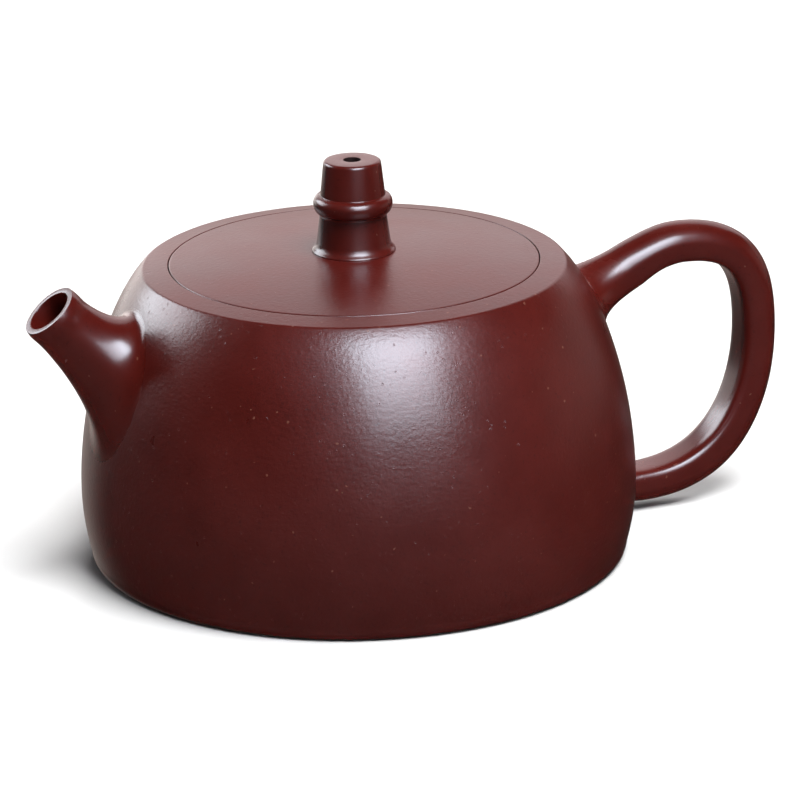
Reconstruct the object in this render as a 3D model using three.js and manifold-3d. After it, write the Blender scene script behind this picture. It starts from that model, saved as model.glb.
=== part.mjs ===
// A small round clay teapot with a flat base, a gently domed flush lid, a straight tapering spout and an
// ear-shaped handle. Millimetres, +Z up. The origin is on the body's axis at the flat underside, the spout
// points along -X and the handle along +X.

import * as THREE from 'three';
import { mergeVertices } from 'three/addons/utils/BufferGeometryUtils.js';
import Module from 'manifold-3d';

const wasm = await Module();
wasm.setup();

// ---- driving dimensions ----

const WALL = 3;
const LATHE_SIDES = 60;

const BASE = { flatRadius: 45.2, edgeRadius: 47.4, edgeHeight: 2.2, thickness: 3.2 };
const BELLY = { radius: 48.85, height: 13 };
const RIM = { radius: 36.9, height: 52.4 };
const SIDE_BEND = { lowerHeight: 26.3, upperRadius: 44.4, upperHeight: 44.6 };

const DOME_RADIUS = 265;
const MOUTH_RADIUS = 32.4;
const LID = { radius: 32.1, thickness: 3.2, seatInnerRadius: 25 };
const SEAT = { innerRadius: 28.6, outerRadius: 35, thickness: 3 };
const FLANGE = { outerRadius: 28.2, thickness: 2.3, depth: 6, chamfer: 0.5 };

const VENT_RADIUS = 1.45;
const KNOB = { footRadius: 7.3, height: 16.2, topRadius: 5, topRounding: 0.4, sides: 32 };
const KNOB_CONE = { radius: 5.65, height: 10.1 };
const STEM = { lipHeight: 0.15, lowerRadius: 6.42, lowerHeight: 1.7, upperRadius: 5.82, upperHeight: 6.6 };
const BEAD = { pullRadius: 7.2, lowerHeight: 6.8, upperHeight: 10 };

const SPOUT_TILT = THREE.MathUtils.degToRad(49.7);
const SPOUT = { mouthX: -55.5, mouthZ: 50.85, mouthRadius: 5.25, sides: 24 };
const BORE = { mouthRadius: 4.05, rootRadius: 5, depth: 26, sides: 24 };
const SPOUT_ROOT = { side: 11.2, top: 10.6, bottom: 12.4, straight: 0.48, flare: 0.24 };

const STRAINER = { radius: 9.5, thickness: 1.6, holeRadius: 0.9, holeRings: [1, 6, 11], ringAngle: 0.36 };

// The handle's centre line: three curves that meet end to end, each given by its four (x, z) control points.
const HANDLE_LINE = [
  [[51.5, 45.75], [54.5, 47.4], [57.6, 48.9], [61.2, 48.95]],
  [[61.2, 48.95], [73, 48.95], [76.6, 42.5], [76.6, 32]],
  [[76.6, 32], [76.6, 20.5], [72.5, 4.4], [53.5, 4.3]],
];
// Its thickness at fractions of its length, from the shoulder to the foot.
const HANDLE_THICKNESS = [[0, 7.6], [0.04, 7], [0.16, 6.9], [0.5, 6.8], [0.8, 7.15], [1, 6.4]];
const HANDLE = { width: 8.4, innerFlatness: 0.42, sides: 16 };
// Where its ends spread out on the body: half-heights on the handle's outer and inner side, and half-width.
const HANDLE_TOP_ROOT = { height: 40.9, outer: 5.3, inner: 6.4, side: 10.4 };
const HANDLE_FOOT_ROOT = { height: 5, outer: -3.9, inner: -4.1, side: 6.6 };
const ROOT_OUTER_NARROWING = 0.3;
const ROOT_STRAIGHT = { inner: 0.34, outer: 0.2 };
const ROOT_FLARE = { inner: 0.36, outer: 0.08 };

const BURIED = 4;
const CUT_GAP = 0.3;

// ---- materials ----

const clay = (color, roughness) => new THREE.MeshStandardMaterial({ color, roughness, metalness: 0 });
const BODY_CLAY = 0x5a1f1b;
const LID_CLAY = 0x6a2a26;
const INNER_CLAY = 0x4a2019;

// ---- shared helpers ----

// The side's outline from the belly up to the rim, as (radius, height).
const upperSide = new THREE.CubicBezierCurve(
  new THREE.Vector2(BELLY.radius, BELLY.height),
  new THREE.Vector2(BELLY.radius, SIDE_BEND.lowerHeight),
  new THREE.Vector2(SIDE_BEND.upperRadius, SIDE_BEND.upperHeight),
  new THREE.Vector2(RIM.radius, RIM.height),
);

// The outside radius of the body at a height between the rounded base edge and the rim.
function radiusAt(z) {
  if (z < BELLY.height) {
    const below = (BELLY.height - z) / (BELLY.height - BASE.edgeHeight);
    return BELLY.radius - (BELLY.radius - BASE.edgeRadius) * below * below;
  }
  let low = 0;
  let high = 1;
  for (let i = 0; i < 30; i += 1) {
    const middle = (low + high) / 2;
    if (upperSide.getPoint(middle).y < z) low = middle;
    else high = middle;
  }
  return upperSide.getPoint(low).x;
}

// How much the radius changes per millimetre of height.
function slopeAt(z) {
  const step = 0.2;
  return (radiusAt(z + step / 2) - radiusAt(z - step / 2)) / step;
}

// The body's radius at a height, moved square to its surface by a distance: outward if it is positive.
const offsetRadiusAt = (z, distance) => radiusAt(z) + distance * Math.hypot(1, slopeAt(z));

// The height of the gently domed top at a radius.
const domeAt = (r) => RIM.height + (RIM.radius ** 2 - r ** 2) / (2 * DOME_RADIUS);

const SEAT_HEIGHT = domeAt(MOUTH_RADIUS) - LID.thickness;

// Points (radius, height) of the side between two heights, moved square to the surface by a distance.
function sidePoints(fromZ, toZ, steps, distance = 0) {
  const points = [];
  for (let i = 0; i <= steps; i += 1) {
    const z = THREE.MathUtils.lerp(fromZ, toZ, i / steps);
    points.push(new THREE.Vector2(offsetRadiusAt(z, distance), z));
  }
  return points;
}

// Points of the domed top between two radii, lowered by a depth.
function domePoints(fromR, toR, steps, depth = 0) {
  const points = [];
  for (let i = 0; i <= steps; i += 1) {
    const r = THREE.MathUtils.lerp(fromR, toR, i / steps);
    points.push(new THREE.Vector2(r, domeAt(r) - depth));
  }
  return points;
}

const point = (r, z) => new THREE.Vector2(r, z);

// A turned solid about the Z axis from points (radius, height) that run anticlockwise.
function turned(points, sides = LATHE_SIDES) {
  return new THREE.LatheGeometry(points, sides).rotateX(Math.PI / 2);
}

// A turned ring, whose outline closes on itself.
const turnedRing = (points, sides) => turned([...points, points[0]], sides);

// A closed solid through rings of equally many points, with a flat fan over each end.
function loft(rings) {
  const count = rings[0].length;
  const middle = (ring) => ring.reduce((sum, p) => sum.add(p), new THREE.Vector3()).divideScalar(count);
  const vertices = [...rings.flat(), middle(rings[0]), middle(rings.at(-1))];
  const first = vertices.length - 2;
  const last = vertices.length - 1;
  const lastRing = (rings.length - 1) * count;
  const faces = [];
  for (let j = 0; j < count; j += 1) {
    const next = (j + 1) % count;
    for (let i = 0; i < rings.length - 1; i += 1) {
      const a = i * count;
      const b = a + count;
      faces.push(a + j, a + next, b + next, a + j, b + next, b + j);
    }
    faces.push(first, next, j, last, lastRing + j, lastRing + next);
  }
  const geometry = new THREE.BufferGeometry().setFromPoints(vertices);
  geometry.setIndex(faces);
  return geometry;
}

// What a function gives for each of a number of angles round a circle.
function aroundRing(sides, make) {
  return Array.from({ length: sides }, (_, j) => make((j / sides) * 2 * Math.PI));
}

// Rings of points a number of equal steps along a set of lines.
function ringsAlong(lines, steps) {
  return Array.from({ length: steps + 1 }, (_, i) => lines.map((line) => line.getPoint(i / steps)));
}

// A solid for joining and cutting, from a closed geometry.
function solid(geometry) {
  const bare = geometry.clone();
  bare.deleteAttribute('normal');
  bare.deleteAttribute('uv');
  const merged = mergeVertices(bare, 1e-4);
  const index = merged.index.array;
  const triangles = [];
  for (let i = 0; i < index.length; i += 3) {
    const [a, b, c] = [index[i], index[i + 1], index[i + 2]];
    if (a !== b && b !== c && c !== a) triangles.push(a, b, c);
  }
  const mesh = new wasm.Mesh({
    numProp: 3,
    vertProperties: new Float32Array(merged.attributes.position.array),
    triVerts: new Uint32Array(triangles),
  });
  return new wasm.Manifold(mesh);
}

// The geometry of a joined or cut solid.
function surface(manifold) {
  const mesh = manifold.getMesh();
  const geometry = new THREE.BufferGeometry();
  geometry.setAttribute('position', new THREE.BufferAttribute(mesh.vertProperties, 3));
  geometry.setIndex(new THREE.BufferAttribute(mesh.triVerts, 1));
  geometry.computeVertexNormals();
  return geometry;
}

// The whole body as one lump, grown by a distance: it trims what is luted on outside.
function bodyLump(distance) {
  const side = sidePoints(BASE.edgeHeight, RIM.height, 24, distance);
  const below = -10;
  return solid(turned([point(0, below), point(side[0].x, below), ...side, point(0, RIM.height)]));
}

// ---- the body ----

function baseDisc() {
  const edge = new THREE.Path();
  edge.moveTo(BASE.flatRadius, 0);
  edge.quadraticCurveTo(BASE.edgeRadius - 0.1, 0, BASE.edgeRadius, BASE.edgeHeight);
  const rounded = edge.getPoints(3);
  const top = point(radiusAt(BASE.thickness), BASE.thickness);
  return turned([point(0, 0), ...rounded, top, point(0, BASE.thickness)]);
}

function bodyWall() {
  const outside = sidePoints(BASE.thickness, SEAT_HEIGHT, 12);
  const inside = sidePoints(BASE.thickness, SEAT_HEIGHT, 7, -WALL).reverse();
  const shell = solid(turnedRing([...outside, ...inside]));
  return surface(shell.subtract(spoutBore(BORE.rootRadius, BORE.rootRadius)));
}

function shoulderRing() {
  const edge = sidePoints(SEAT_HEIGHT, RIM.height, 2);
  const top = domePoints(RIM.radius, MOUTH_RADIUS, 1).slice(1);
  return turnedRing([point(MOUTH_RADIUS, SEAT_HEIGHT), ...edge, ...top]);
}

function seatRing() {
  const low = SEAT_HEIGHT - SEAT.thickness;
  return turnedRing([
    point(SEAT.innerRadius, low),
    point(SEAT.outerRadius, low),
    point(SEAT.outerRadius, SEAT_HEIGHT),
    point(SEAT.innerRadius, SEAT_HEIGHT),
  ]);
}

// ---- the spout ----

const spoutMouth = new THREE.Vector3(SPOUT.mouthX, 0, SPOUT.mouthZ);
const spoutOut = new THREE.Vector3(-Math.cos(SPOUT_TILT), 0, Math.sin(SPOUT_TILT));
const spoutUp = new THREE.Vector3(Math.sin(SPOUT_TILT), 0, Math.cos(SPOUT_TILT));
const spoutSide = new THREE.Vector3(0, 1, 0);

// A point beside the spout's axis: a distance into the pot from the mouth, at a radius and an angle from +Y.
function besideSpout(depth, radius, angle) {
  return spoutMouth
    .clone()
    .addScaledVector(spoutOut, -depth)
    .addScaledVector(spoutSide, radius * Math.cos(angle))
    .addScaledVector(spoutUp, radius * Math.sin(angle));
}

// How far a line beside the spout's axis runs from the mouth's plane to the body's surface.
function depthToBody(radius, angle) {
  let near = -2;
  let far = 40;
  for (let i = 0; i < 40; i += 1) {
    const middle = (near + far) / 2;
    const p = besideSpout(middle, radius, angle);
    if (Math.hypot(p.x, p.y) > offsetRadiusAt(p.z, 0)) near = middle;
    else far = middle;
  }
  return near;
}

// The outward normal of the body's side at a point on it.
function sideNormal(p) {
  const across = Math.hypot(p.x, p.y);
  return new THREE.Vector3(p.x / across, p.y / across, -slopeAt(p.z)).normalize();
}

// A line of luted-on clay: it leaves its start along a heading and ends lying along the body's surface.
function lutedLine(start, heading, foot, centre, straight, flare) {
  const reach = start.distanceTo(foot);
  const away = foot.clone().sub(centre).projectOnPlane(sideNormal(foot)).normalize();
  const bend = start.clone().addScaledVector(heading, reach * straight);
  const run = foot.clone().addScaledVector(away, -reach * flare);
  return new THREE.CubicBezierCurve3(start, bend, run, foot);
}

// The spout's outside at one angle, from the lip to the root.
function spoutLine(angle) {
  const upward = Math.sin(angle);
  const reach = upward > 0 ? SPOUT_ROOT.top : SPOUT_ROOT.bottom;
  const rootRadius = THREE.MathUtils.lerp(SPOUT_ROOT.side, reach, upward ** 2);
  const lip = besideSpout(0, SPOUT.mouthRadius, angle);
  const foot = besideSpout(depthToBody(rootRadius, angle), rootRadius, angle);
  const centre = besideSpout(depthToBody(0, 0), 0, 0);
  return lutedLine(lip, spoutOut.clone().negate(), foot, centre, SPOUT_ROOT.straight, SPOUT_ROOT.flare);
}

// The bore, as a solid cone that starts outside the lip.
function spoutBore(mouthRadius, rootRadius) {
  const beyond = 2;
  const rings = [-beyond, BORE.depth].map((depth) => {
    const radius = depth < 0 ? mouthRadius : rootRadius;
    return aroundRing(BORE.sides, (angle) => besideSpout(depth, radius, angle));
  });
  return solid(loft(rings));
}

function spout() {
  const lines = aroundRing(SPOUT.sides, spoutLine);
  const rings = ringsAlong(lines, 7);
  const inward = spoutOut.clone().multiplyScalar(-BURIED);
  rings.push(rings.at(-1).map((p) => p.clone().add(inward)));
  const outer = solid(loft(rings));
  const trimmed = outer.subtract(bodyLump(CUT_GAP));
  return surface(trimmed.subtract(spoutBore(BORE.mouthRadius, BORE.rootRadius)));
}

// The perforated dome inside the body over the spout's root.
function strainer() {
  const root = besideSpout(depthToBody(0, 0), 0, 0);
  const inward = sideNormal(root).negate();
  const centre = root.clone().addScaledVector(spoutOut, WALL / inward.dot(spoutOut));
  const toInward = new THREE.Quaternion().setFromUnitVectors(new THREE.Vector3(0, 0, 1), inward);
  const place = (geometry) => geometry.applyQuaternion(toInward).translate(centre.x, centre.y, centre.z);
  const ball = (radius) => solid(place(new THREE.SphereGeometry(radius, 20, 12)));
  let shell = ball(STRAINER.radius).subtract(ball(STRAINER.radius - STRAINER.thickness));
  STRAINER.holeRings.forEach((count, ring) => {
    for (let j = 0; j < count; j += 1) {
      shell = shell.subtract(strainerHole(ring * STRAINER.ringAngle, (j / count) * 2 * Math.PI, place));
    }
  });
  const inside = sidePoints(BASE.thickness, SEAT_HEIGHT, 24, -WALL - CUT_GAP);
  const cavity = solid(turned([point(0, BASE.thickness), ...inside, point(0, SEAT_HEIGHT)]));
  return surface(shell.intersect(cavity));
}

// One hole of the strainer, along a line out of the dome's centre.
function strainerHole(lean, around, place) {
  const rod = new THREE.CylinderGeometry(STRAINER.holeRadius, STRAINER.holeRadius, STRAINER.radius, 6);
  rod.translate(0, STRAINER.radius, 0).rotateX(Math.PI / 2).rotateX(lean).rotateZ(around);
  return solid(place(rod));
}

// ---- the handle ----

const inPlane = ([x, z]) => new THREE.Vector3(x, 0, z);

// The handle's centre line: up from the shoulder, over the top, down the back and in to the foot.
function handleLine() {
  const path = new THREE.CurvePath();
  HANDLE_LINE.forEach((points) => path.add(new THREE.CubicBezierCurve3(...points.map(inPlane))));
  return path;
}

// The handle's section: its outward half is round and its inward half is a flat face with rounded edges.
const handleSection = aroundRing(HANDLE.sides, (angle) => {
  const outward = Math.cos(angle);
  const across = Math.sin(angle);
  const flatness = outward < 0 ? HANDLE.innerFlatness : 1;
  const rounded = (value) => Math.sign(value) * Math.abs(value) ** flatness;
  return { outward, across, rise: rounded(outward), breadth: rounded(across) };
});

// The handle's thickness a fraction of the way along it.
function handleThickness(along) {
  const next = Math.max(1, HANDLE_THICKNESS.findIndex(([fraction]) => fraction >= along));
  const [from, thick] = HANDLE_THICKNESS[next - 1];
  const [to, nextThick] = HANDLE_THICKNESS[next];
  return THREE.MathUtils.mapLinear(along, from, to, thick, nextThick);
}

function handleRing(path, along) {
  const across = new THREE.Vector3(0, -1, 0);
  const outward = path.getTangentAt(along).cross(across).negate();
  const centre = path.getPointAt(along);
  const halfThickness = handleThickness(along) / 2;
  return handleSection.map((side) => centre
    .clone()
    .addScaledVector(outward, halfThickness * side.rise)
    .addScaledVector(across, (HANDLE.width / 2) * side.breadth));
}

// The rings that carry an end of the handle on to the body, from the handle outwards.
function rootRings(ring, heading, root) {
  const onBody = (y, z) => new THREE.Vector3(Math.sqrt(radiusAt(z) ** 2 - y ** 2), y, z);
  const centre = onBody(0, root.height);
  const lines = handleSection.map(({ outward, across }, j) => {
    const outer = Math.max(outward, 0) ** 2;
    const reach = outward > 0 ? root.outer : root.inner;
    const breadth = root.side * (1 - ROOT_OUTER_NARROWING * outer);
    const foot = onBody(-across * breadth, root.height + outward * reach);
    const straight = THREE.MathUtils.lerp(ROOT_STRAIGHT.inner, ROOT_STRAIGHT.outer, outer);
    const flare = THREE.MathUtils.lerp(ROOT_FLARE.inner, ROOT_FLARE.outer, outer);
    return lutedLine(ring[j], heading, foot, centre, straight, flare);
  });
  const rings = ringsAlong(lines, 6).slice(1);
  const buried = rings.at(-1).map((p) => p.clone().add(new THREE.Vector3(-BURIED, 0, 0)));
  return [...rings, buried];
}

function handle() {
  const path = handleLine();
  const steps = 26;
  const middle = [];
  for (let i = 0; i <= steps; i += 1) middle.push(handleRing(path, i / steps));
  const start = rootRings(middle[0], path.getTangentAt(0).negate(), HANDLE_TOP_ROOT);
  const end = rootRings(middle.at(-1), path.getTangentAt(1), HANDLE_FOOT_ROOT);
  const whole = solid(loft([...start.reverse(), ...middle, ...end]));
  return surface(whole.subtract(bodyLump(CUT_GAP)));
}

// ---- the lid ----

const KNOB_FOOT_HEIGHT = domeAt(KNOB.footRadius);

function lidPlate() {
  const under = domePoints(VENT_RADIUS, LID.seatInnerRadius - LID.thickness, 2, LID.thickness);
  const top = domePoints(LID.radius, KNOB.footRadius, 3);
  return turnedRing([
    ...under,
    point(LID.seatInnerRadius, SEAT_HEIGHT),
    point(LID.radius, SEAT_HEIGHT),
    ...top,
    point(VENT_RADIUS, KNOB_FOOT_HEIGHT),
  ]);
}

function lidFlange() {
  const inner = FLANGE.outerRadius - FLANGE.thickness;
  const low = SEAT_HEIGHT - FLANGE.depth;
  return turnedRing([
    point(inner, low),
    point(FLANGE.outerRadius - FLANGE.chamfer, low),
    point(FLANGE.outerRadius, low + FLANGE.chamfer),
    point(FLANGE.outerRadius, SEAT_HEIGHT),
    point(inner, SEAT_HEIGHT),
  ]);
}

function knob() {
  const { topRadius, height, topRounding, footRadius } = KNOB;
  const outline = new THREE.Path();
  outline.moveTo(footRadius, 0);
  outline.lineTo(footRadius, STEM.lipHeight);
  outline.quadraticCurveTo(STEM.lowerRadius, STEM.lipHeight, STEM.lowerRadius, STEM.lowerHeight);
  outline.lineTo(STEM.upperRadius, STEM.upperHeight);
  outline.bezierCurveTo(
    BEAD.pullRadius, BEAD.lowerHeight, BEAD.pullRadius, BEAD.upperHeight, KNOB_CONE.radius, BEAD.upperHeight,
  );
  outline.lineTo(KNOB_CONE.radius, KNOB_CONE.height);
  outline.lineTo(topRadius, height - topRounding);
  outline.quadraticCurveTo(topRadius, height, topRadius - topRounding, height);
  const points = outline.getPoints(4).map((p) => point(p.x, p.y + KNOB_FOOT_HEIGHT));
  const hole = [point(VENT_RADIUS, KNOB_FOOT_HEIGHT + height), point(VENT_RADIUS, KNOB_FOOT_HEIGHT)];
  return turnedRing([...points, ...hole], KNOB.sides);
}

// ---- the assembly ----

const teapot = new THREE.Group();

function add(name, geometry, color, roughness) {
  const mesh = new THREE.Mesh(geometry, clay(color, roughness));
  mesh.name = name;
  teapot.add(mesh);
}

add('base_disc', baseDisc(), BODY_CLAY, 0.55);
add('body_wall', bodyWall(), BODY_CLAY, 0.38);
add('shoulder_ring', shoulderRing(), LID_CLAY, 0.42);
add('seat_ring', seatRing(), INNER_CLAY, 0.7);
add('spout', spout(), BODY_CLAY, 0.36);
add('strainer', strainer(), INNER_CLAY, 0.7);
add('handle', handle(), BODY_CLAY, 0.34);
add('lid_plate', lidPlate(), LID_CLAY, 0.42);
add('lid_flange', lidFlange(), INNER_CLAY, 0.7);
add('knob', knob(), BODY_CLAY, 0.32);

export default teapot;
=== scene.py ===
"""The looks of a small red-brown clay teapot, built round its CAD model. Metres, +Z up."""

import math

import bpy
import numpy as np
from mathutils import Matrix, Vector


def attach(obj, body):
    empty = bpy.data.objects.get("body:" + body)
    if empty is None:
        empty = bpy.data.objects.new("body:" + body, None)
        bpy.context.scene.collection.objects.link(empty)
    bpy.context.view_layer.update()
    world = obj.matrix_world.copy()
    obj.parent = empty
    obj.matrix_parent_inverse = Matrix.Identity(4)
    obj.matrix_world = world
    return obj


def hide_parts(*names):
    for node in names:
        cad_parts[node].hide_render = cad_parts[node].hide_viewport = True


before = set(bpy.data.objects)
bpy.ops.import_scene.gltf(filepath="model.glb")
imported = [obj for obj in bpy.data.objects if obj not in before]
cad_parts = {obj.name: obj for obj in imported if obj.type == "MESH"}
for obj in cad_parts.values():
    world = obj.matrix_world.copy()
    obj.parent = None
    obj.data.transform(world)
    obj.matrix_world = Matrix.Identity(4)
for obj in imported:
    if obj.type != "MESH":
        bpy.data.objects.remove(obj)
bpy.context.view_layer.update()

MM = 0.001

# ---- dimensions of the pot, in millimetres ----

BASE_EDGE_RADIUS = 47.4
BASE_EDGE_HEIGHT = 2.2
BASE_FLAT_RADIUS = 45.2
BASE_EDGE_BEND = (BASE_EDGE_RADIUS - 0.1, 0)
BASE_THICKNESS = 3.2
BELLY_RADIUS = 48.85
BELLY_HEIGHT = 13.0
RIM_RADIUS = 36.9
RIM_HEIGHT = 52.4
SIDE_BEND_LOW = (BELLY_RADIUS, 26.3)
SIDE_BEND_HIGH = (44.4, 44.6)
WALL = 3.0
FLOOR_FILLET = 3.0

DOME_RADIUS = 265.0
MOUTH_RADIUS = 32.4
LID_RADIUS = 32.26
LID_THICKNESS = 3.2
LID_HOLLOW_RADIUS = 20
LID_FLAT_RADIUS = 25
SEAT_INNER_RADIUS = 28.6
SEAT_OUTER_RADIUS = 35.0
SEAT_DEPTH = 3.0
SEAT_SEAM_RADIUS = 31.0
FLANGE_RADIUS = 28.2
FLANGE_THICKNESS = 2.3
FLANGE_DEPTH = 6.0
FLANGE_SEAM = 0.8
VENT_RADIUS = 1.45

# The knob's points are (radius, height above the top of the lid).
KNOB_FOOT_RADIUS = 7.3
KNOB_SINK = -0.12
KNOB_FOOT = ((KNOB_FOOT_RADIUS, 0.14), (7.2, 0.5), (6.62, 0.6), (6.42, 1.7))
KNOB_NECK = (5.8, 6.55)
KNOB_BEAD = ((5.85, 6.75), (7.2, 7.1), (7.35, 9.95), (5.72, 10.02))
KNOB_CONE_FOOT = (5.64, 10.12)
KNOB_TOP_RADIUS = 4.98
KNOB_HEIGHT = 16.2

# How far each corner's rounding reaches along the two edges that meet there.
ROUNDING = {
    "rim": 0.28, "mouth": 0.16, "seat": 0.3, "seat_foot": 0.6,
    "lid_foot": 0.3, "lid": 0.24, "flange": 0.6, "flange_inside": 0.5,
    "knob_neck": 0.25, "bead": 0.1, "cone_foot": 0.08, "knob_top": 0.6, "vent": 0.12,
    "lip_outside": 0.1, "lip_inside": 0.16,
}

SPOUT_MOUTH = np.array([-55.5, 0.0, 50.85])
SPOUT_TILT = math.radians(49.7)
SPOUT_RADIUS = 5.2
LIP_BULGE = {"height": 0.2, "depth": 1.4, "width": 1.5}
LIP_OUTER_EDGE = {"depth": 1.0, "swell": 0.17}
LIP_INNER_EDGE = {"depth": 2.0, "swell": 0.02}
SPOUT_SLIMMING = {"height": 0.05, "length": 8}
BORE_RADIUS = 4.05
BORE_ROOT_RADIUS = 4.9
BORE_OVERRUN = 0.3
SPOUT_ROOT = {"side": 11.2, "top": 10.6, "bottom": 12.4, "straight": 0.48, "flare": 0.24}
WALL_HOLE = {"outside": 6, "inside": 9, "inner_radius": 5.1}

STRAINER_RADIUS = 9.5
STRAINER_THICKNESS = 1.6
STRAINER_HOLE_RADIUS = 0.9
STRAINER_HOLE_RINGS = (1, 6, 11)
STRAINER_RING_ANGLE = 0.36

HANDLE_WIDTH = 8.4
HANDLE_THICKNESS = ((0.0, 7.7), (0.04, 6.8), (0.16, 6.9), (0.5, 6.8), (0.8, 7.15), (1.0, 6.4))
INNER_FLATNESS = 0.42
HANDLE_START = (51.5, 45.75)
HANDLE_TOP = (61.2, 48.95)
HANDLE_BACK = (76.6, 32.0)
HANDLE_END = (53.5, 4.3)
HANDLE_CURVES = (
    (HANDLE_START, (54.5, 47.4), (57.6, 48.9), HANDLE_TOP),
    (HANDLE_TOP, (73, 48.95), (76.6, 42.5), HANDLE_BACK),
    (HANDLE_BACK, (76.6, 20.5), (72.5, 4.4), HANDLE_END),
)
HANDLE_TOP_ROOT = {"height": 40.9, "outer": 5.6, "inner": 6.4, "side": 10.4}
HANDLE_FOOT_ROOT = {"height": 5.0, "outer": -3.9, "inner": -4.1, "side": 6.6}
ROOT_OUTER_NARROWING = 0.3
# How far a root runs straight on and how far it flares, as parts of its length, and how much less outside.
ROOT_STRAIGHT, ROOT_STRAIGHT_LOSS = 0.34, 0.14
ROOT_FLARE, ROOT_FLARE_LOSS = 0.36, 0.28

# The slight unevenness of a pot shaped by hand: height, waves round the pot, turn per millimetre up, start.
UNEVENNESS = (
    (0.035, 2, 0, 0.6),
    (0.03, 5, 0.11, 0),
    (0.022, 9, -0.21, 1.1),
    (0.018, 3, 0.33, 0),
)

FINE_SIDES = 256
SHARP_ANGLE = math.radians(40)


# ---- curves and outlines ----

def bezier(points, count):
    """count points along the Bezier curve of 3 or 4 control points."""
    p = np.asarray(points, float)
    t = np.linspace(0, 1, count)[:, None]
    if len(p) == 3:
        return (1 - t) ** 2 * p[0] + 2 * (1 - t) * t * p[1] + t * t * p[2]
    return (1 - t) ** 3 * p[0] + 3 * (1 - t) ** 2 * t * p[1] + 3 * (1 - t) * t * t * p[2] + t ** 3 * p[3]


UPPER_SIDE = bezier(
    [(BELLY_RADIUS, BELLY_HEIGHT), SIDE_BEND_LOW, SIDE_BEND_HIGH, (RIM_RADIUS, RIM_HEIGHT)], 600,
)


def radius_at(z):
    """The outside radius of the body at a height."""
    z = np.asarray(z, float)
    below = (BELLY_HEIGHT - z) / (BELLY_HEIGHT - BASE_EDGE_HEIGHT)
    low = BELLY_RADIUS - (BELLY_RADIUS - BASE_EDGE_RADIUS) * below ** 2
    return np.where(z < BELLY_HEIGHT, low, np.interp(z, UPPER_SIDE[:, 1], UPPER_SIDE[:, 0]))


def slope_at(z):
    """How much the radius changes per millimetre of height."""
    step = 0.4
    return (radius_at(z + step / 2) - radius_at(z - step / 2)) / step


def side_points(from_z, to_z, count, distance=0.0):
    """Points of the side between two heights, moved square to the surface by a distance."""
    z = np.linspace(from_z, to_z, count)
    return np.c_[radius_at(z) + distance * np.hypot(1, slope_at(z)), z]


def dome_at(r):
    """The height of the gently domed top at a radius."""
    return RIM_HEIGHT + (RIM_RADIUS ** 2 - np.asarray(r, float) ** 2) / (2 * DOME_RADIUS)


def dome_points(from_r, to_r, count, depth=0.0):
    """Points of the domed top between two radii, lowered by a depth."""
    r = np.linspace(from_r, to_r, count)
    return np.c_[r, dome_at(r) - depth]


SEAT_HEIGHT = float(dome_at(MOUTH_RADIUS)) - LID_THICKNESS
KNOB_BASE_HEIGHT = float(dome_at(KNOB_FOOT_RADIUS))


def outline(*stretches):
    """One outline from stretches of points. A number after a stretch rounds its last point by that much."""
    points = []
    corners = {}
    for item in stretches:
        if isinstance(item, (int, float)):
            corners[len(points) - 1] = float(item)
        else:
            points.extend(np.atleast_2d(np.asarray(item, float)))
    return soften(np.array(points), corners)


def soften(points, corners, steps=6):
    """The points with some corners replaced by short curves: corners maps a point's index to its setback."""
    run = np.r_[0, np.cumsum(np.linalg.norm(np.diff(points, axis=0), axis=1))]
    where = lambda s: np.array([np.interp(s, run, points[:, k]) for k in range(2)])
    kept = []
    for i, p in enumerate(points):
        if i in corners:
            kept.extend(bezier([where(run[i] - corners[i]), p, where(run[i] + corners[i])], steps))
        elif all(abs(run[i] - run[k]) > setback for k, setback in corners.items()):
            kept.append(p)
    return np.array(kept)


# ---- meshes ----

def hand_made(points):
    """Moves points in or out by the pot's unevenness, which fades towards its axis."""
    p = np.array(points, float)
    angle = np.arctan2(p[:, 1], p[:, 0])
    reach = np.hypot(p[:, 0], p[:, 1])
    swell = sum(
        height * np.sin(waves * angle + p[:, 2] * lean + start)
        for height, waves, lean, start in UNEVENNESS
    )
    swell *= np.clip(reach / RIM_RADIUS, 0, 1) ** 2
    p[:, 0] += swell * np.cos(angle)
    p[:, 1] += swell * np.sin(angle)
    return p


def make_piece(name, points, faces):
    """A mesh object from points in millimetres."""
    mesh = bpy.data.meshes.new(name)
    mesh.from_pydata((hand_made(points) * MM).tolist(), [], faces)
    mesh.validate()
    mesh.shade_smooth()
    mesh.set_sharp_from_angle(angle=SHARP_ANGLE)
    piece = bpy.data.objects.new(name, mesh)
    bpy.context.scene.collection.objects.link(piece)
    return piece


def turn(name, profile, sides=FINE_SIDES):
    """A closed solid turned about Z from an outline (radius, height) that runs anticlockwise.

    An outline that starts and ends on the axis closes there; any other closes on itself.
    """
    profile = np.asarray(profile, float)
    solid_core = profile[0, 0] < 1e-6 and profile[-1, 0] < 1e-6
    ring = profile[1:-1] if solid_core else profile
    angle = np.arange(sides) * 2 * math.pi / sides
    around = np.stack([np.cos(angle), np.sin(angle)], 1)
    points = [(r * c, r * s, z) for r, z in ring for c, s in around]
    faces = []
    rows = len(ring)
    for i in range(rows - 1 if solid_core else rows):
        a, b = i * sides, ((i + 1) % rows) * sides
        for j in range(sides):
            k = (j + 1) % sides
            faces.append((a + j, a + k, b + k, b + j))
    if solid_core:
        bottom, top = len(points), len(points) + 1
        points += [(0, 0, profile[0, 1]), (0, 0, profile[-1, 1])]
        last = (rows - 1) * sides
        for j in range(sides):
            k = (j + 1) % sides
            faces.append((bottom, k, j))
            faces.append((top, last + j, last + k))
    return make_piece(name, points, faces)


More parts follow.
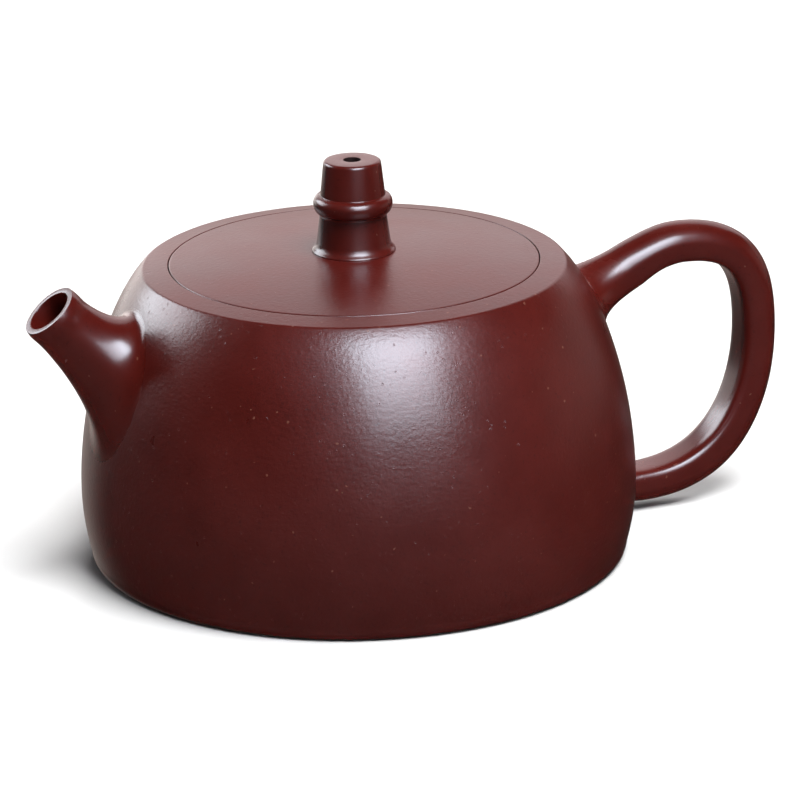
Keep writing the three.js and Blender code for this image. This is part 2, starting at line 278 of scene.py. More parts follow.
def loft(name, rings, closed=False):
    """A closed solid through rings of equally many points: a loop of rings, or capped at both ends."""
    rings = [np.asarray(r, float) for r in rings]
    sides = len(rings[0])
    points = list(np.concatenate(rings))
    faces = []
    for i in range(len(rings) if closed else len(rings) - 1):
        a, b = i * sides, ((i + 1) % len(rings)) * sides
        for j in range(sides):
            k = (j + 1) % sides
            faces.append((a + j, a + k, b + k, b + j))
    if not closed:
        first, last = len(points), len(points) + 1
        points += [rings[0].mean(0), rings[-1].mean(0)]
        end = (len(rings) - 1) * sides
        for j in range(sides):
            k = (j + 1) % sides
            faces.append((first, k, j))
            faces.append((last, end + j, end + k))
    return make_piece(name, points, faces)


def cut(piece, tool):
    """Cuts a solid out of a piece and removes the solid."""
    modifier = piece.modifiers.new("cut", "BOOLEAN")
    modifier.operation = "DIFFERENCE"
    modifier.solver = "EXACT"
    modifier.object = tool
    apply_modifiers(piece)
    bpy.data.objects.remove(tool)


def apply_modifiers(piece):
    """Replaces a piece's mesh by what its modifiers make of it."""
    depsgraph = bpy.context.evaluated_depsgraph_get()
    made = bpy.data.meshes.new_from_object(piece.evaluated_get(depsgraph))
    piece.modifiers.clear()
    piece.data = made


# ---- clay that is luted on to the body ----

def side_normal(p):
    """The body's outward normal beside each point."""
    across = np.hypot(p[..., 0], p[..., 1])
    n = np.stack([p[..., 0] / across, p[..., 1] / across, -slope_at(p[..., 2])], -1)
    return n / np.linalg.norm(n, axis=-1, keepdims=True)


def on_body(p, depth=0.0):
    """The points moved level to the body's surface, or below it by a depth, and no lower than its base."""
    p = np.array(p)
    p[..., 2] = np.maximum(p[..., 2], BASE_EDGE_HEIGHT / 4)
    across = np.hypot(p[..., 0], p[..., 1])
    reach = radius_at(p[..., 2]) - depth * np.hypot(1, slope_at(p[..., 2]))
    return np.stack([p[..., 0] * reach / across, p[..., 1] * reach / across, p[..., 2]], -1)


def luted_rings(start, heading, foot, centre, straight, flare, steps):
    """Rings from a start ring, along a heading, to a foot ring on the body that they meet along its surface.

    straight and flare say how far they run on at each end, as parts of the way between the rings.
    """
    reach = np.linalg.norm(foot - start, axis=1, keepdims=True)
    normal = side_normal(foot)
    away = foot - centre
    away -= normal * (away * normal).sum(1, keepdims=True)
    away /= np.linalg.norm(away, axis=1, keepdims=True)
    bend = start + heading * reach * straight
    run = foot - away * reach * flare
    rings = []
    for t in np.linspace(0, 1, steps + 1)[1:]:
        a, b, c, d = (1 - t) ** 3, 3 * (1 - t) ** 2 * t, 3 * (1 - t) * t * t, t ** 3
        rings.append(a * start + b * bend + c * run + d * foot)
    return rings, away


def buried_rings(foot, away, width=2.4, depth=0.3, steps=6):
    """Rings that carry a foot on below the body's surface, so that the join doesn't show."""
    rings = []
    for t in np.linspace(0, 1, steps + 1)[1:]:
        rings.append(on_body(foot + away * width * t, depth * t * t))
    return rings


# ---- the body ----

def make_base():
    edge = bezier([(BASE_FLAT_RADIUS, 0), BASE_EDGE_BEND, (BASE_EDGE_RADIUS, BASE_EDGE_HEIGHT)], 14)
    profile = outline(
        (0, 0),
        [(r, 0) for r in np.linspace(6, BASE_FLAT_RADIUS, 10)],
        edge[1:],
        side_points(BASE_EDGE_HEIGHT, BASE_THICKNESS, 4)[1:],
        (0, BASE_THICKNESS),
    )
    return turn("base", profile)


def make_wall():
    """The body's wall, with a fillet inside where it meets the base and the spout's hole through it."""
    outside = side_points(BASE_THICKNESS, SEAT_HEIGHT, 120)
    inside = side_points(BASE_THICKNESS, SEAT_HEIGHT, 60, -WALL)[::-1]
    inside = inside[inside[:, 1] > BASE_THICKNESS + FLOOR_FILLET]
    corner = side_points(BASE_THICKNESS, BASE_THICKNESS + 0.1, 2, -WALL)[0]
    toe = (corner[0] - FLOOR_FILLET, BASE_THICKNESS)
    profile = outline(outside, inside, bezier([inside[-1], corner, toe], 8)[1:])
    wall = turn("wall", profile)
    cut(wall, spout_hole())
    return wall


def make_shoulder_ring():
    profile = outline(
        side_points(SEAT_HEIGHT, RIM_HEIGHT, 16), ROUNDING["rim"],
        dome_points(RIM_RADIUS, MOUTH_RADIUS, 14)[1:], ROUNDING["mouth"],
        (MOUTH_RADIUS, SEAT_HEIGHT),
    )
    return turn("shoulder", profile)


def make_seat_ring():
    low = SEAT_HEIGHT - SEAT_DEPTH
    profile = outline(
        (SEAT_SEAM_RADIUS, low), (SEAT_OUTER_RADIUS, low), (SEAT_OUTER_RADIUS, SEAT_HEIGHT),
        (SEAT_INNER_RADIUS, SEAT_HEIGHT), ROUNDING["seat"],
        (SEAT_INNER_RADIUS, low), ROUNDING["seat_foot"],
        (SEAT_SEAM_RADIUS - 0.1, low),
    )
    return turn("seat", profile)


# ---- the spout ----

SPOUT_OUT = np.array([-math.cos(SPOUT_TILT), 0.0, math.sin(SPOUT_TILT)])
SPOUT_UP = np.array([math.sin(SPOUT_TILT), 0.0, math.cos(SPOUT_TILT)])
SPOUT_SIDE = np.array([0.0, 1.0, 0.0])


def beside_spout(depth, radius, angle):
    """Points beside the spout's axis, a depth into the pot from its mouth, at angles from +Y."""
    depth, radius, angle = np.broadcast_arrays(depth, radius, angle)
    return (
        SPOUT_MOUTH
        - depth[..., None] * SPOUT_OUT
        + (radius * np.cos(angle))[..., None] * SPOUT_SIDE
        + (radius * np.sin(angle))[..., None] * SPOUT_UP
    )


def depth_to_body(radius, angle):
    """How deep lines beside the spout's axis run before they meet the body."""
    near = np.full(np.shape(angle), -2.0)
    far = np.full(np.shape(angle), 40.0)
    for _ in range(40):
        middle = (near + far) / 2
        p = beside_spout(middle, radius, angle)
        outside = np.hypot(p[..., 0], p[..., 1]) > radius_at(p[..., 2])
        near = np.where(outside, middle, near)
        far = np.where(outside, far, middle)
    return near


def spout_hole():
    """The hole through the wall at the spout's root."""
    angle = np.arange(64) * 2 * math.pi / 64
    depth = float(depth_to_body(0.0, np.array(0.0)))
    outer = beside_spout(depth - WALL_HOLE["outside"], BORE_ROOT_RADIUS, angle)
    inner = beside_spout(depth + WALL_HOLE["inside"], WALL_HOLE["inner_radius"], angle)
    return loft("hole", [outer, inner])


def depth_of(points):
    """How deep points lie into the pot from the spout's mouth, along its axis."""
    return -(points - SPOUT_MOUTH) @ SPOUT_OUT


def lip_rings(angle):
    """Rings round the spout's lip, from outside to inside."""
    rounded = soften(
        np.array([
            (LIP_OUTER_EDGE["depth"], SPOUT_RADIUS + LIP_OUTER_EDGE["swell"]),
            (0.0, SPOUT_RADIUS),
            (0.0, BORE_RADIUS),
            (LIP_INNER_EDGE["depth"], BORE_RADIUS + LIP_INNER_EDGE["swell"]),
        ]),
        {1: ROUNDING["lip_outside"], 2: ROUNDING["lip_inside"]},
    )
    return [beside_spout(depth, radius, angle) for depth, radius in rounded]


def bore_rings(angle):
    """Rings down the bore, which widens from the lip to just below the body's surface."""
    start = LIP_INNER_EDGE["depth"]
    run = depth_to_body(BORE_ROOT_RADIUS, angle) + BORE_OVERRUN - start
    widening = BORE_ROOT_RADIUS - BORE_RADIUS
    return [
        beside_spout(start + run * t, BORE_RADIUS + widening * t, angle)
        for t in np.linspace(0, 1, 24)[1:]
    ]


def make_spout():
    """The spout: a slight bulge behind the lip, a slim neck and a root that flares on to the body."""
    sides = 160
    angle = np.arange(sides) * 2 * math.pi / sides
    upward = np.sin(angle)
    reach = np.where(upward > 0, SPOUT_ROOT["top"], SPOUT_ROOT["bottom"])
    root_radius = SPOUT_ROOT["side"] + (reach - SPOUT_ROOT["side"]) * upward ** 2
    foot = beside_spout(depth_to_body(root_radius, angle), root_radius, angle)
    centre = beside_spout(depth_to_body(0.0, np.array(0.0)), 0.0, 0.0)
    lip = beside_spout(0.0, SPOUT_RADIUS, angle)
    outside, away = luted_rings(
        lip, -SPOUT_OUT, foot, centre, SPOUT_ROOT["straight"], SPOUT_ROOT["flare"], 70,
    )
    radial = np.cos(angle)[:, None] * SPOUT_SIDE + np.sin(angle)[:, None] * SPOUT_UP
    shaped = []
    slim, length = SPOUT_SLIMMING["height"], SPOUT_SLIMMING["length"]
    for ring in outside:
        deep = depth_of(ring)
        hump = np.exp(-((deep - LIP_BULGE["depth"]) / LIP_BULGE["width"]) ** 2)
        bulge = LIP_BULGE["height"] * hump - slim
        fading = -slim * np.clip(2 - deep / length, 0, 1)
        shaped.append(ring + radial * np.where(deep < length, bulge, fading)[:, None])
    behind_lip = LIP_OUTER_EDGE["depth"] + 0.05
    shaped = [ring for ring in shaped if depth_of(ring).min() > behind_lip]
    rings = bore_rings(angle)[::-1] + lip_rings(angle)[::-1] + shaped + buried_rings(foot, away)
    return loft("spout_shell", rings, closed=True)


def make_strainer():
    """The perforated dome over the spout's root, inside the body."""
    root = beside_spout(depth_to_body(0.0, np.array(0.0)), 0.0, 0.0)
    inward = -side_normal(root)
    centre = root - SPOUT_OUT * (WALL / float(-inward @ SPOUT_OUT))
    spin = np.array(Vector((0, 0, 1)).rotation_difference(Vector(inward)).to_matrix())
    around = np.arange(96) * 2 * math.pi / 96
    rings = []
    inside_rows = 22
    for radius, arc in (
        (STRAINER_RADIUS, np.linspace(0, 1.54, 26)),
        (STRAINER_RADIUS - STRAINER_THICKNESS, np.linspace(1.53, 0, inside_rows)),
    ):
        for a in arc:
            r, z = radius * math.cos(a), radius * math.sin(a)
            rings.append(centre + np.c_[r * np.cos(around), r * np.sin(around), np.full(96, z)] @ spin.T)
    top = len(rings) - inside_rows
    dome = loft("strainer_dome", rings[top:] + rings[:top])
    cut(dome, strainer_holes(centre, spin))
    return dome


def strainer_holes(centre, spin):
    """One mesh of a peg for each hole of the strainer."""
    sides = 20
    around = np.arange(sides) * 2 * math.pi / sides
    circle = np.c_[np.cos(around), np.sin(around), np.zeros(sides)] * STRAINER_HOLE_RADIUS
    points, faces = [], []
    for ring, count in enumerate(STRAINER_HOLE_RINGS):
        for k in range(count):
            tilt, turn_by = ring * STRAINER_RING_ANGLE, k * 2 * math.pi / count
            lean = np.array(Matrix.Rotation(turn_by, 3, "Z") @ Matrix.Rotation(tilt, 3, "Y"))
            base = len(points)
            for height in (STRAINER_RADIUS - 2 * STRAINER_THICKNESS, STRAINER_RADIUS + 1):
                points.extend(centre + (circle + (0, 0, height)) @ lean.T @ spin.T)
            for j in range(sides):
                m = (j + 1) % sides
                faces.append((base + j, base + m, base + sides + m, base + sides + j))
            faces.append(tuple(base + j for j in reversed(range(sides))))
            faces.append(tuple(base + sides + j for j in range(sides)))
    return make_piece("holes", points, faces)


# ---- the handle ----

def handle_line(count):
    """Points (x, z) of the handle's centre line, evenly spaced, and the line's direction at each."""
    first, *later = (bezier(curve, 200) for curve in HANDLE_CURVES)
    line = np.vstack([first] + [stretch[1:] for stretch in later])
    run = np.r_[0, np.cumsum(np.linalg.norm(np.diff(line, axis=0), axis=1))]
    s = np.linspace(0, run[-1], count)
    x, z = (np.interp(s, run, line[:, k]) for k in range(2))
    tangent = np.gradient(np.c_[x, z], axis=0)
    tangent /= np.linalg.norm(tangent, axis=1, keepdims=True)
    return np.c_[x, z], tangent


def make_handle():
    """A strap with a rounded back and a flat inner face, thickest where it leaves the shoulder."""
    sides = 96
    angle = np.arange(sides) * 2 * math.pi / sides
    c, s = np.cos(angle), np.sin(angle)
    rise = np.where(c < 0, -np.abs(c) ** INNER_FLATNESS, c)
    across = np.where(c < 0, np.sign(s) * np.abs(s) ** INNER_FLATNESS, s)
    count = 140
    centre, tangent = handle_line(count)
    thickness = np.interp(np.linspace(0, 1, count), *zip(*HANDLE_THICKNESS))
    beside = 4
    window = 2 * beside + 1
    thickness = np.convolve(np.pad(thickness, beside, mode="edge"), np.ones(window) / window, mode="valid")
    rings = []
    for (x, z), (tx, tz), thick in zip(centre, tangent, thickness):
        rings.append(np.stack([
            x - tz * rise * thick / 2,
            -across * HANDLE_WIDTH / 2,
            z + tx * rise * thick / 2,
        ], 1))
    start = handle_root(rings[0], -tangent[0], HANDLE_TOP_ROOT, c, s)
    end = handle_root(rings[-1], tangent[-1], HANDLE_FOOT_ROOT, c, s)
    return loft("handle_loop", start[::-1] + rings + end)


def handle_root(ring, heading, root, c, s):
    """Rings from an end of the handle to its foot on the body, which is narrower on the outer side."""
    foot = np.zeros((len(c), 3))
    foot[:, 1] = -s * root["side"] * (1 - ROOT_OUTER_NARROWING * np.clip(c, 0, 1) ** 2)
    foot[:, 2] = root["height"] + c * np.where(c > 0, root["outer"], root["inner"])
    foot[:, 0] = np.sqrt(radius_at(foot[:, 2]) ** 2 - foot[:, 1] ** 2)
    centre = np.array([float(radius_at(root["height"])), 0.0, root["height"]])
    heading = np.array([heading[0], 0.0, heading[1]])
    outer = np.clip(c, 0, 1)[:, None] ** 2
    straight = ROOT_STRAIGHT - ROOT_STRAIGHT_LOSS * outer
    flare = ROOT_FLARE - ROOT_FLARE_LOSS * outer
    rings, away = luted_rings(ring, heading, foot, centre, straight, flare, 36)
    return rings + buried_rings(foot, away)


# ---- the lid ----

def make_lid_plate():
    top = dome_points(LID_RADIUS, VENT_RADIUS, 60)
    profile = outline(
        dome_points(VENT_RADIUS, LID_HOLLOW_RADIUS, 12, LID_THICKNESS),
        (LID_FLAT_RADIUS, SEAT_HEIGHT),
        (LID_RADIUS, SEAT_HEIGHT), ROUNDING["lid_foot"],
        top[:1], ROUNDING["lid"],
        top[1:],
    )
    return turn("lid", profile)


def make_flange():
    inner = FLANGE_RADIUS - FLANGE_THICKNESS
    low = SEAT_HEIGHT - FLANGE_DEPTH
    profile = outline(
        (inner + FLANGE_SEAM, low),
        (FLANGE_RADIUS, low), ROUNDING["flange"],
        (FLANGE_RADIUS, SEAT_HEIGHT), (inner, SEAT_HEIGHT),
        (inner, low), ROUNDING["flange_inside"],
        (inner + FLANGE_SEAM - 0.1, low),
    )
    return turn("flange", profile)


def make_knob():
    """The knob: a flared foot, a neck with a bead round it and a cone, with the vent down its middle."""
    def rise(points):
        return np.asarray(points, float) + (0, KNOB_BASE_HEIGHT)

    profile = outline(
        rise([(VENT_RADIUS, KNOB_SINK)]),
        rise([(KNOB_FOOT_RADIUS, KNOB_SINK)]),
        rise(bezier(KNOB_FOOT, 14)),
        rise([KNOB_NECK]), ROUNDING["knob_neck"],
        rise(bezier(KNOB_BEAD, 26)), ROUNDING["bead"],
        rise([KNOB_CONE_FOOT]), ROUNDING["cone_foot"],
        rise([(KNOB_TOP_RADIUS, KNOB_HEIGHT)]), ROUNDING["knob_top"],
        rise([(VENT_RADIUS, KNOB_HEIGHT)]), ROUNDING["vent"],
        rise([(VENT_RADIUS, KNOB_HEIGHT - 3)]),
        rise([(VENT_RADIUS, 4)]),
    )
    return turn("knob_turned", profile, sides=192)


# ---- materials ----

# Noise and cell scales count cells per metre.
MOTTLE_SCALE = 60
FLECK_SCALE = 2100
SPECK_SCALE = 1300
SKIN_SCALE = 1300
RIPPLE_SCALE = {"along": 620, "across": 1350, "drift": 55, "plain": 500}
RIPPLE_DRIFT = 0.012
PIT_SCALE = 760
PIT_RADIUS = 0.2
PIT_WANDER = {"scale": 2200, "reach": 0.0005}
PIT_PATCH_SCALE = 330
# A pit's height from its middle to its raised edge, over its radius.
PIT_PROFILE = ((0, -1), (0.35, -0.8), (0.7, 0.6), (0.82, 0.65), (1, 0))
PALE_SPECK = (0.2, 0.08, 0.055, 1)


class Nodes:
    """A short way to write a material's nodes."""

    def __init__(self, name):
        self.material = bpy.data.materials.new(name)
        self.material.use_nodes = True
        self.tree = self.material.node_tree
        self.tree.nodes.clear()

    def add(self, kind, **settings):
        node = self.tree.nodes.new(kind)
        for key, value in settings.items():
            if key in node.inputs:
                node.inputs[key].default_value = value
            else:
                setattr(node, key, value)
        return node

    def link(self, source, target):
        self.tree.links.new(source, target)


def noise(n, place, scale, detail=2.0, roughness=0.5):
    """Soft noise between 0 and 1."""
    node = n.add("ShaderNodeTexNoise", Scale=scale, Detail=detail, Roughness=roughness)
    n.link(place, node.inputs["Vector"])
    return node.outputs["Fac"]


def spread(n, value, low, high, to_low, to_high):
    """Maps a value from one range to another and keeps it inside."""
    node = n.add("ShaderNodeMapRange")
    node.inputs["From Min"].default_value = low
    node.inputs["From Max"].default_value = high
    node.inputs["To Min"].default_value = to_low
    node.inputs["To Max"].default_value = to_high
    n.link(value, node.inputs["Value"])
    return node.outputs["Result"]


def blend_colour(n, factor, first, second):
    """A mix of two colours, each a constant or a node's output."""
    node = n.add("ShaderNodeMix", data_type="RGBA")
    n.link(factor, node.inputs["Factor"])
    for socket, colour in ((node.inputs["A"], first), (node.inputs["B"], second)):
        if isinstance(colour, tuple):
            socket.default_value = colour
        else:
            n.link(colour, socket)
    return node.outputs["Result"]


def crater(n, place, scale, radius):
    """Small pits with a raised edge, round those cell centres that lie near the surface."""
    cells = n.add("ShaderNodeTexVoronoi", Scale=scale)
    n.link(place, cells.inputs["Vector"])
    ramp = n.add("ShaderNodeFloatCurve")
    ramp.mapping.use_clip = False
    curve = ramp.mapping.curves[0]
    for x, y in PIT_PROFILE[1:-1]:
        curve.points.new(x, y)
    curve.points[0].location = PIT_PROFILE[0]
    curve.points[-1].location = PIT_PROFILE[-1]
    ramp.mapping.update()
    n.link(spread(n, cells.outputs["Distance"], 0, radius, 0, 1), ramp.inputs["Value"])
    return ramp.outputs["Value"]


def round_the_pot(n, place, along, across):
    """Coordinates whose noise is drawn out round the pot's axis, on its side and its top alike.

    along and across are the noise's scales round the pot and up it, and drift makes the lines wander.
    """
    flat = n.add("ShaderNodeVectorMath", operation="MULTIPLY")
    n.link(place, flat.inputs[0])
    flat.inputs[1].default_value = (1, 1, 0)
    reach = n.add("ShaderNodeVectorMath", operation="LENGTH")
    n.link(flat.outputs["Vector"], reach.inputs[0])
    facing = n.add("ShaderNodeVectorMath", operation="NORMALIZE")
    n.link(flat.outputs["Vector"], facing.inputs[0])
    parts = n.add("ShaderNodeSeparateXYZ")
    n.link(place, parts.inputs["Vector"])
    line = n.add("ShaderNodeMath", operation="SUBTRACT")
    n.link(parts.outputs["Z"], line.inputs[0])
    n.link(reach.outputs["Value"], line.inputs[1])
    drift = n.add("ShaderNodeMath", operation="MULTIPLY_ADD")
    n.link(noise(n, place, RIPPLE_SCALE["drift"], 1), drift.inputs[0])
    drift.inputs[1].default_value = RIPPLE_DRIFT
    n.link(line.outputs["Value"], drift.inputs[2])
    way = n.add("ShaderNodeSeparateXYZ")
    n.link(facing.outputs["Vector"], way.inputs["Vector"])
    joined = n.add("ShaderNodeCombineXYZ")
    for axis in "XY":
        scaled = n.add("ShaderNodeMath", operation="MULTIPLY")
        scaled.inputs[1].default_value = along * BELLY_RADIUS * MM
        n.link(way.outputs[axis], scaled.inputs[0])
        n.link(scaled.outputs["Value"], joined.inputs[axis])
    scaled = n.add("ShaderNodeMath", operation="MULTIPLY")
    scaled.inputs[1].default_value = across
    n.link(drift.outputs["Value"], scaled.inputs[0])
    n.link(scaled.outputs["Value"], joined.inputs["Z"])
    return joined.outputs["Vector"]


def bump(n, height, distance, below=None):
    """A bump node over the normal of the one below it."""
    node = n.add("ShaderNodeBump", Strength=1.0, Distance=distance)
    n.link(height, node.inputs["Height"])
    if below is not None:
        n.link(below, node.inputs["Normal"])
    return node.outputs["Normal"]


def clay(name, dark, light, rough, peel, ripple, pits, turned=True, gloss=0.4):
    """Fired clay: mottled colour with a few pale specks, an uneven skin, burnishing ripples and small pits.

    peel, ripple and pits are heights in metres: of the skin, the ripples and the pits. The ripples run round
    a turned piece.
    """
    n = Nodes(name)
    place = n.add("ShaderNodeTexCoord").outputs["Object"]
    mottle = noise(n, place, MOTTLE_SCALE, 4, 0.6)
    colour = blend_colour(n, spread(n, mottle, 0.3, 0.7, 0, 1), dark, light)
    fleck = noise(n, place, FLECK_SCALE, 1, 0.4)
    half_dark = tuple(0.5 * v for v in dark[:3]) + (1,)
    colour = blend_colour(n, spread(n, fleck, 0.36, 0.24, 0, 0.5), colour, half_dark)
    speck = noise(n, place, SPECK_SCALE, 0, 0.5)
    colour = blend_colour(n, spread(n, speck, 0.84, 0.87, 0, 0.6), colour, PALE_SPECK)

    skin = noise(n, place, SKIN_SCALE, 3, 0.6)
    shader = n.add("ShaderNodeBsdfPrincipled")
    shader.inputs["Specular IOR Level"].default_value = gloss
    n.link(colour, shader.inputs["Base Color"])
    n.link(spread(n, mottle, 0.3, 0.7, rough - 0.03, rough + 0.03), shader.inputs["Roughness"])
    if turned:
        drawn = round_the_pot(n, place, RIPPLE_SCALE["along"], RIPPLE_SCALE["across"])
        ripples = noise(n, drawn, 1.0)
    else:
        ripples = noise(n, place, RIPPLE_SCALE["plain"])
    normal = bump(n, ripples, ripple)
    normal = bump(n, skin, peel, normal)
    wander = n.add("ShaderNodeTexNoise", Scale=PIT_WANDER["scale"], Detail=1)
    n.link(place, wander.inputs["Vector"])
    shaken = n.add("ShaderNodeVectorMath", operation="MULTIPLY_ADD")
    n.link(wander.outputs["Color"], shaken.inputs[0])
    shaken.inputs[1].default_value = (PIT_WANDER["reach"],) * 3
    n.link(place, shaken.inputs[2])
    pitted = n.add("ShaderNodeMath", operation="MULTIPLY")
    n.link(crater(n, shaken.outputs["Vector"], PIT_SCALE, PIT_RADIUS), pitted.inputs[0])
    n.link(spread(n, noise(n, place, PIT_PATCH_SCALE, 1), 0.47, 0.6, 0, 1), pitted.inputs[1])
    normal = bump(n, pitted.outputs["Value"], pits, normal)
    n.link(normal, shader.inputs["Normal"])
    out = n.add("ShaderNodeOutputMaterial")
    n.link(shader.outputs["BSDF"], out.inputs["Surface"])
    return n.material


CLAY_DARK = (0.06, 0.005, 0.0033, 1)
CLAY_LIGHT = (0.08, 0.007, 0.0046, 1)
RAW_DARK = (0.075, 0.014, 0.0105, 1)
RAW_LIGHT = (0.105, 0.022, 0.016, 1)
# Near-black clay for the knob's vent wall: painted shade standing in for the dark of the deep hole.
VENT_SHADE_DARK = (0.012, 0.003, 0.0025, 1)
VENT_SHADE_LIGHT = (0.02, 0.005, 0.004, 1)
BURNISHED = clay("burnished_clay", CLAY_DARK, CLAY_LIGHT, rough=0.3, peel=34e-6, ripple=20e-6, pits=19e-6)
POLISHED = clay(
    "polished_clay", CLAY_DARK, CLAY_LIGHT, rough=0.25, peel=4e-6, ripple=8e-6, pits=4e-6, turned=False,
)
RAW = clay("raw_clay", RAW_DARK, RAW_LIGHT, rough=0.6, peel=30e-6, ripple=40e-6, pits=50e-6, gloss=0.15)
VENT_SHADE_CLAY = clay(
    "painted_vent_shade_clay", VENT_SHADE_DARK, VENT_SHADE_LIGHT, rough=0.7, peel=20e-6, ripple=20e-6, pits=20e-6, gloss=0.1,
)


def finish_piece(piece, body, material, slot, *nodes, raw_or_shade_faces=None, raw_or_shade_clay=RAW):
    """Gives a piece its clay and its body, and hides the nodes it replaces. slot is not used.

    A function of (x, y, z), in millimetres, says which faces take the second clay instead: the raw clay
    inside the pot, and the painted shade on the knob's vent wall.
    """
    piece.data.materials.clear()
    piece.data.materials.append(material)
    if raw_or_shade_faces is not None:
        piece.data.materials.append(raw_or_shade_clay)
        for face in piece.data.polygons:
            x, y, z = face.center / MM
            face.material_index = int(raw_or_shade_faces(x, y, z))
    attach(piece, body)
    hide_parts(*nodes)


finish_piece(
    make_base(), "pot", BURNISHED, "pot_clay", "base_disc",
    raw_or_shade_faces=lambda x, y, z: z > BASE_THICKNESS - 0.01,
)
finish_piece(
    make_wall(), "pot", BURNISHED, "pot_clay", "body_wall",
    raw_or_shade_faces=lambda x, y, z: math.hypot(x, y) < radius_at(z) - 0.5,
)
finish_piece(make_shoulder_ring(), "pot", BURNISHED, "pot_clay", "shoulder_ring")
finish_piece(make_seat_ring(), "pot", RAW, "inner_clay", "seat_ring")
finish_piece(make_spout(), "pot", POLISHED, "pot_clay", "spout")
finish_piece(make_strainer(), "pot", RAW, "inner_clay", "strainer")
finish_piece(make_handle(), "pot", POLISHED, "pot_clay", "handle")
finish_piece(
    make_lid_plate(), "lid", BURNISHED, "pot_clay", "lid_plate",
    raw_or_shade_faces=lambda x, y, z: z < dome_at(math.hypot(x, y)) - 0.4 or math.hypot(x, y) < VENT_RADIUS + 0.01,
)
finish_piece(make_flange(), "lid", RAW, "inner_clay", "lid_flange")
# The knob's vent wall gets near-black clay: painted shade for the deep hole.
finish_piece(
    make_knob(), "lid", POLISHED, "pot_clay", "knob",
    raw_or_shade_faces=lambda x, y, z: math.hypot(x, y) < VENT_RADIUS + 0.15, raw_or_shade_clay=VENT_SHADE_CLAY,
)


# ---- floor, light and camera ----

def make_floor():
    """A pale matt floor that lights the pot from below but isn't seen in its gloss."""
    mesh = bpy.data.meshes.new("floor")
    half = 4.0
    corners = [(-half, -half, 0), (half, -half, 0), (half, half, 0), (-half, half, 0)]
    mesh.from_pydata(corners, [], [(0, 1, 2, 3)])
    floor = bpy.data.objects.new("floor", mesh)
    bpy.context.scene.collection.objects.link(floor)
    n = Nodes("pale_floor")
    place = n.add("ShaderNodeTexCoord").outputs["Object"]
    shade = blend_colour(n, noise(n, place, 4, 2), (0.78, 0.78, 0.78, 1), (0.82, 0.82, 0.82, 1))
    shader = n.add("ShaderNodeBsdfPrincipled", Roughness=0.9)
    shader.inputs["Specular IOR Level"].default_value = 0.2
    n.link(shade, shader.inputs["Base Color"])
    n.link(shader.outputs["BSDF"], n.add("ShaderNodeOutputMaterial").inputs["Surface"])
    mesh.materials.append(n.material)
    floor.visible_glossy = False


def add_light(name, azimuth, elevation, distance, width, height, radiance, colour=(1, 1, 1), only=None):
    """A soft light aimed at the pot: azimuth 0 stands on the camera's side, 90 to its right, round the pot.

    Angles are in degrees, lengths in metres. only="reflections" makes it a card that shows in the clay's
    gloss and lights nothing, only="shading" a lamp that doesn't show there.
    """
    light = bpy.data.lights.new(name, "AREA")
    light.shape = "RECTANGLE"
    light.size = width
    light.size_y = height
    light.energy = radiance * math.pi * width * height
    light.color = colour
    lamp = bpy.data.objects.new(name, light)
    bpy.context.scene.collection.objects.link(lamp)
    a = math.radians(azimuth + CAMERA_AZIMUTH)
    e = math.radians(elevation)
    toward = Vector((math.sin(a) * math.cos(e), -math.cos(a) * math.cos(e), math.sin(e)))
    lamp.location = LIGHTS_AIM + toward * distance
    lamp.rotation_mode = "QUATERNION"
    lamp.rotation_quaternion = toward.to_track_quat("Z", "Y")
    lamp.visible_diffuse = only != "reflections"
    lamp.visible_glossy = only != "shading"


LIGHTS_AIM = Vector((0, 0, 0.03))
CAMERA_AZIMUTH = -20.0
CAMERA_REACH = 859.3 * MM
CAMERA_HEIGHT = 316.8 * MM
# How far aside and down the camera looks for each unit of its line of sight.
CAMERA_ASIDE = 0.0083
CAMERA_DIP = 0.3195
CAMERA_ROLL = math.radians(-1.06)
CAMERA_LENS = 232.5


def make_camera():
    data = bpy.data.cameras.new("camera")
    data.sensor_width = 36
    data.lens = CAMERA_LENS
    data.clip_end = 20
    camera = bpy.data.objects.new("camera", data)
    bpy.context.scene.collection.objects.link(camera)
    turn_about = Matrix.Rotation(math.radians(CAMERA_AZIMUTH), 3, "Z")
    ahead = Vector((CAMERA_ASIDE, math.sqrt(1 - CAMERA_ASIDE ** 2 - CAMERA_DIP ** 2), -CAMERA_DIP))
    right = ahead.cross(Vector((0, 0, 1))).normalized()
    up = right.cross(ahead)
    c, s = math.cos(CAMERA_ROLL), math.sin(CAMERA_ROLL)
    across, above = right * c + up * s, up * c - right * s
    pose = Matrix((across, above, -ahead)).transposed()
    camera.rotation_mode = "QUATERNION"
    camera.rotation_quaternion = (turn_about @ pose).to_quaternion()
    camera.location = turn_about @ Vector((0, -CAMERA_REACH, CAMERA_HEIGHT))
    bpy.context.scene.camera = camera


# The direction of the room's pale side, how far round it reaches as a cosine, and the strengths.
PALE_SIDE = Vector((0.1, 1.0, -0.1)).normalized()
PALE_REACH = 0.8
ROOM_DIM = 0.025
ROOM_PALE = 0.65
ROOM_COLOUR = (1, 0.83, 0.76, 1)


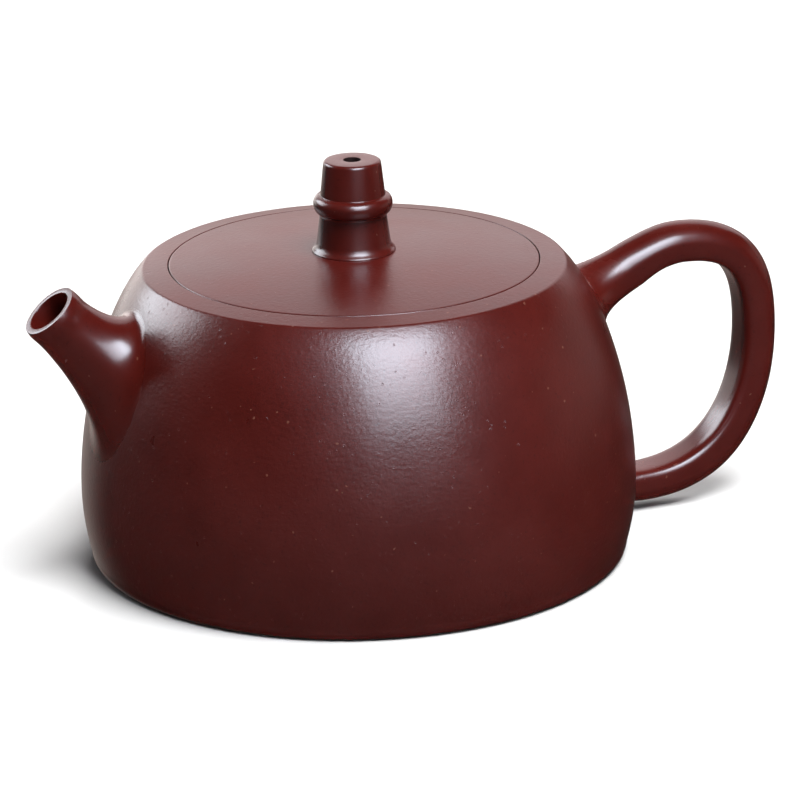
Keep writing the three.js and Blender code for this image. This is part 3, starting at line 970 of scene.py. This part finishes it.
def make_world():
    """A dim room with one pale side, which is behind the pot."""
    world = bpy.data.worlds.new("studio")
    world.use_nodes = True
    tree = world.node_tree
    place = tree.nodes.new("ShaderNodeTexCoord")
    toward = tree.nodes.new("ShaderNodeVectorMath")
    toward.operation = "DOT_PRODUCT"
    toward.inputs[1].default_value = PALE_SIDE
    tree.links.new(place.outputs["Generated"], toward.inputs[0])
    strength = tree.nodes.new("ShaderNodeMapRange")
    strength.interpolation_type = "SMOOTHSTEP"
    strength.inputs["From Min"].default_value = PALE_REACH
    strength.inputs["From Max"].default_value = 1.0
    strength.inputs["To Min"].default_value = ROOM_DIM
    strength.inputs["To Max"].default_value = ROOM_PALE
    tree.links.new(toward.outputs["Value"], strength.inputs["Value"])
    background = tree.nodes["Background"]
    background.inputs["Color"].default_value = ROOM_COLOUR
    tree.links.new(strength.outputs["Result"], background.inputs["Strength"])
    bpy.context.scene.world = world


DAYLIGHT = (0.79, 0.933, 1.07)
SKYLIGHT = (0.87, 0.93, 1.0)
LEFT_WALL_TINT = (1.0, 0.95, 0.93)
RIGHT_WALL_TINT = (1.0, 0.9, 0.87)
BACKDROP_TINT = (1.0, 0.92, 0.95)

make_floor()
make_camera()
make_world()
# Name, azimuth, elevation, distance, width, height, radiance and colour. The first three are one window.
for card in (
    ("window", 24, 49, 1.0, 0.62, 0.38, 30, DAYLIGHT),
    ("window_foot", 22, 32, 1.0, 0.6, 0.21, 20, DAYLIGHT),
    ("sill", 22, 20, 1.0, 0.6, 0.21, 11.5, DAYLIGHT),
    ("left_window", -121, 25, 1.2, 0.8, 0.58, 11, SKYLIGHT),
    ("left_wall", -150, 3, 1.3, 1.05, 0.46, 1.8, LEFT_WALL_TINT),
    ("right_wall", 115, 6, 1.5, 1.6, 0.6, 0.35, RIGHT_WALL_TINT),
    ("backdrop", 173, 25, 1.5, 1.8, 0.95, 1.3, BACKDROP_TINT),
):
    add_light(*card, only="reflections")
for lamp in (
    ("key", 38, 67, 1.1, 0.6, 0.6, 17),
    ("back_fill", 170, 40, 1.2, 0.7, 0.7, 7),
):
    add_light(*lamp, only="shading")
bpy.context.scene.view_settings.view_transform = "Standard"
